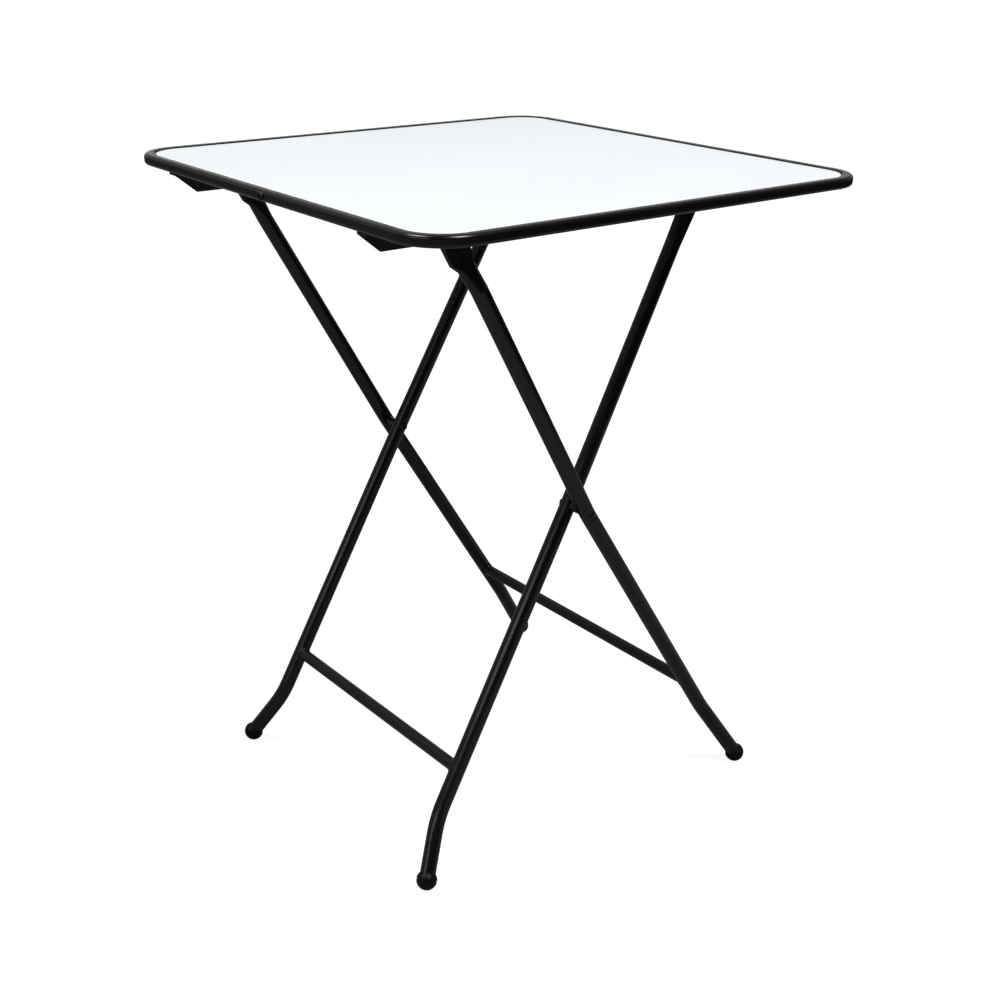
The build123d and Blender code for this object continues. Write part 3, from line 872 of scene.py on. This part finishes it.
@dataclass
class Camera:
    """The camera at the photograph's place, found by fitting the table's outline to it.

    Attributes:
        place: Where it stands.
        yaw: The way it looks, turned from +X towards +Y.
        pitch: How far it looks up.
        roll: How far its right side is tilted up.
        focal_pixels: Its focal length in pixels of the picture.
        image_pixels: The picture's side.
        pixel_shift: How far right of and below Blender's the fitted picture's middle lies, in pixels.
        sensor: The sensor's side, in millimetres.
        near: The nearest distance that it sees.
        far: The farthest.
    """

    place: Triple = (1.18946, -0.92197, 0.94607)
    yaw: float = math.radians(141.645)
    pitch: float = math.radians(-22.446)
    roll: float = math.radians(0.777)
    focal_pixels: float = 1431.57
    image_pixels: float = 1000.0
    pixel_shift: float = 0.5
    sensor: float = 36.0
    near: float = 0.05
    far: float = 100.0

    def build(self) -> None:
        """Make the camera and make it the scene's."""
        data = bpy.data.cameras.new("camera")
        data.sensor_width = self.sensor
        data.lens = self.focal_pixels / self.image_pixels * self.sensor
        data.clip_start = self.near
        data.clip_end = self.far
        data.shift_x = -self.pixel_shift / self.image_pixels
        data.shift_y = self.pixel_shift / self.image_pixels
        level = math.cos(self.pitch)
        ahead = Vector((math.cos(self.yaw) * level, math.sin(self.yaw) * level, math.sin(self.pitch)))
        right = Vector((math.sin(self.yaw), -math.cos(self.yaw), 0.0))
        above = right.cross(ahead)
        turned_right = right * math.cos(self.roll) + above * math.sin(self.roll)
        turned_above = above * math.cos(self.roll) - right * math.sin(self.roll)
        turn = Matrix((turned_right, turned_above, -ahead)).transposed()
        camera = bpy.data.objects.new("camera", data)
        camera.matrix_world = Matrix.Translation(self.place) @ turn.to_4x4()
        bpy.context.scene.collection.objects.link(camera)
        bpy.context.scene.camera = camera


@dataclass
class Softbox:
    """One soft rectangular lamp.

    Attributes:
        name: What it is called.
        place: Where it stands.
        width: Its longer side.
        height: Its shorter side.
        power: Its power in watts.
        aim: The point that it faces.
    """

    name: str
    place: Triple
    width: float
    height: float
    power: float
    aim: Triple

    def build(self) -> None:
        """Make the lamp."""
        data = bpy.data.lights.new(self.name, "AREA")
        data.shape = "RECTANGLE"
        data.size = self.width
        data.size_y = self.height
        data.energy = self.power
        lamp = bpy.data.objects.new(self.name, data)
        lamp.location = self.place
        lamp.rotation_mode = "QUATERNION"
        lamp.rotation_quaternion = (Vector(self.aim) - Vector(self.place)).to_track_quat("-Z", "Y")
        bpy.context.scene.collection.objects.link(lamp)


@dataclass
class Studio:
    """A white floor, a white backdrop, a dim near side and soft lamps.

    The camera sees the floor and the surround as white. The table's black coat mirrors
    them as white only behind the table and low down, as it does in the photograph.

    Attributes:
        floor_side: The side of the square floor.
        paper_colour: The colour of the paper on the floor, which catches the lamps' light.
        bare_colour: The colour of the floor beyond the paper.
        paper_roughness: The floor's roughness.
        glow_near: How white the camera sees the floor under the table, before the lamps' light.
        glow_far: The same, away from the table.
        glow_reach: The distances between which it changes.
        paper_side: The way in which the paper ends.
        paper_edge: How far out that way it fades into the bare floor.
        mirrored_from: How far out the floor begins to be mirrored as white.
        near_light: The surround's light from the near side.
        far_light: The surround's light from the far side.
        light_way: The way to the far side.
        light_edge: Where one changes into the other, along that way.
        backdrop_way: The way to the backdrop.
        backdrop_edge: Where the backdrop begins, along that way.
        backdrop_top: The height of its upper edge, as the sine of an elevation.
        mirrored_white: How white a reflection shows the backdrop and the far floor.
        dark_above: Where the dark part above the backdrop ends, as the sine of an elevation.
        dark_share: The share of the surround's light that is left in that part.
        lamps: The soft lamps.
    """

    floor_side: float = 70.0
    paper_colour: Colour = (0.25, 0.25, 0.25)
    bare_colour: Colour = (0.02, 0.02, 0.02)
    paper_roughness: float = 0.9
    glow_near: float = 0.91
    glow_far: float = 1.0
    glow_reach: Span = (0.5, 2.2)
    paper_side: Triple = (0.75, 0.66, 0.0)
    paper_edge: Span = (1.1, 2.6)
    mirrored_from: Span = (4.0, 9.0)
    near_light: float = 0.03
    far_light: float = 0.28
    light_way: Triple = (-0.966, 0.259, 0.0)
    light_edge: Span = (-0.45, 0.9)
    backdrop_way: Triple = (-0.784, 0.62, 0.0)
    backdrop_edge: Span = (0.8, 0.92)
    backdrop_top: Span = (0.165, 0.214)
    mirrored_white: float = 0.66
    dark_above: Span = (0.24, 0.5)
    dark_share: float = 0.15
    lamps: list[Softbox] = field(
        default_factory=lambda: [
            Softbox("front_box", (-0.73, -1.74, 4.0), width=1.65, height=1.5, power=77.0, aim=TOP_MIDDLE),
            Softbox("right_box", (2.12, 0.58, 4.0), width=1.5, height=1.5, power=130.0, aim=TOP_MIDDLE),
            Softbox("key", (0.7, -3.5, 1.58), width=2.6, height=0.4, power=11.0, aim=(0.7, 0.0, 0.3)),
        ]
    )

    def build(self) -> None:
        """Make the floor, the world and the lamps."""
        self._floor()
        self._world()
        for lamp in self.lamps:
            lamp.build()

    @staticmethod
    def _seen(graph: Graph, shown: Socket) -> Socket:
        """Find how white a ray sees the surround.

        Args:
            graph: The graph to add the nodes to.
            shown: How much of it a reflection shows.

        Returns:
            One for the camera's rays, that share for reflections, and nought for light.
        """
        path = graph.add("ShaderNodeLightPath").outputs
        bounced = graph.maths("MAXIMUM", path["Is Glossy Ray"], path["Is Transmission Ray"])
        return graph.maths("MAXIMUM", path["Is Camera Ray"], graph.maths("MULTIPLY", bounced, shown))

    def _towards_backdrop(self, graph: Graph, way: Socket) -> Socket:
        """Find how far a direction points at the backdrop.

        Args:
            graph: The graph to add the nodes to.
            way: The direction, of length one.

        Returns:
            One at the backdrop and nought away from it.
        """
        return graph.ramp(graph.along(way, self.backdrop_way), self.backdrop_edge, RISE)

    def _floor(self) -> None:
        """Make the floor, whose paper ends beyond the table's back right corner."""
        mesh = bmesh.new()
        bmesh.ops.create_grid(mesh, x_segments=1, y_segments=1, size=self.floor_side / 2)
        data = bpy.data.meshes.new("floor")
        mesh.to_mesh(data)
        mesh.free()
        floor = bpy.data.objects.new("floor", data)
        bpy.context.scene.collection.objects.link(floor)
        material = bpy.data.materials.new("floor_paper")
        material.use_nodes = True
        graph = Graph(material.node_tree)
        shader = graph.find("BSDF_PRINCIPLED")
        shader.inputs["Roughness"].default_value = self.paper_roughness
        shader.inputs["Specular IOR Level"].default_value = 0.0
        shader.inputs["Emission Color"].default_value = rgba(WHITE)
        place = graph.add("ShaderNodeTexCoord").outputs["Object"]
        distance = graph.add("ShaderNodeVectorMath", operation="LENGTH")
        graph.join(place, distance.inputs[0])
        glow = graph.ramp(distance.outputs["Value"], self.glow_reach, (self.glow_near, self.glow_far))
        paper = graph.ramp(graph.along(place, self.paper_side), self.paper_edge, FALL)
        graph.join(graph.blend(paper, self.bare_colour, self.paper_colour), shader.inputs["Base Color"])
        far = graph.ramp(distance.outputs["Value"], self.mirrored_from, (0.0, self.mirrored_white))
        heading = graph.add("ShaderNodeVectorMath", operation="NORMALIZE")
        graph.join(place, heading.inputs[0])
        mirrored = graph.maths("MULTIPLY", far, self._towards_backdrop(graph, heading.outputs["Vector"]))
        seen = self._seen(graph, graph.maths("MULTIPLY", mirrored, paper))
        graph.join(graph.maths("MULTIPLY", glow, seen), shader.inputs["Emission Strength"])
        data.materials.append(material)

    def _world(self) -> None:
        """Make the surround, which is white to the camera and lights the table from the far side."""
        world = bpy.data.worlds.new("surround")
        bpy.context.scene.world = world
        world.use_nodes = True
        graph = Graph(world.node_tree)
        light = graph.find("BACKGROUND")
        light.inputs["Color"].default_value = rgba(WHITE)
        way = graph.add("ShaderNodeTexCoord").outputs["Generated"]
        farness = graph.along(way, self.light_way)
        lit = graph.ramp(farness, self.light_edge, (self.near_light, self.far_light))
        parts = graph.add("ShaderNodeSeparateXYZ")
        graph.join(way, parts.inputs["Vector"])
        sideways = self._towards_backdrop(graph, way)
        below_top = graph.ramp(parts.outputs["Z"], self.backdrop_top, (self.mirrored_white, 0.0))
        backdrop = graph.maths("MULTIPLY", below_top, sideways)
        near_top = graph.ramp(parts.outputs["Z"], self.dark_above, FALL)
        dimmed = graph.ramp(graph.maths("MULTIPLY", near_top, sideways), RISE, (1.0, self.dark_share))
        level = graph.maths("MULTIPLY", lit, dimmed)
        graph.join(graph.maths("MAXIMUM", level, self._seen(graph, backdrop)), light.inputs["Strength"])


def main() -> None:
    """Dress the table and set up the studio."""
    logging.basicConfig(level=logging.INFO)
    bpy.context.scene.view_settings.view_transform = "Standard"
    palette = Palette(Effects())
    for part in (TableTop(palette), OuterFrame(palette), InnerFrame(palette)):
        part.build()
    Studio().build()
    Camera().build()


if __name__ == "__main__":
    main()
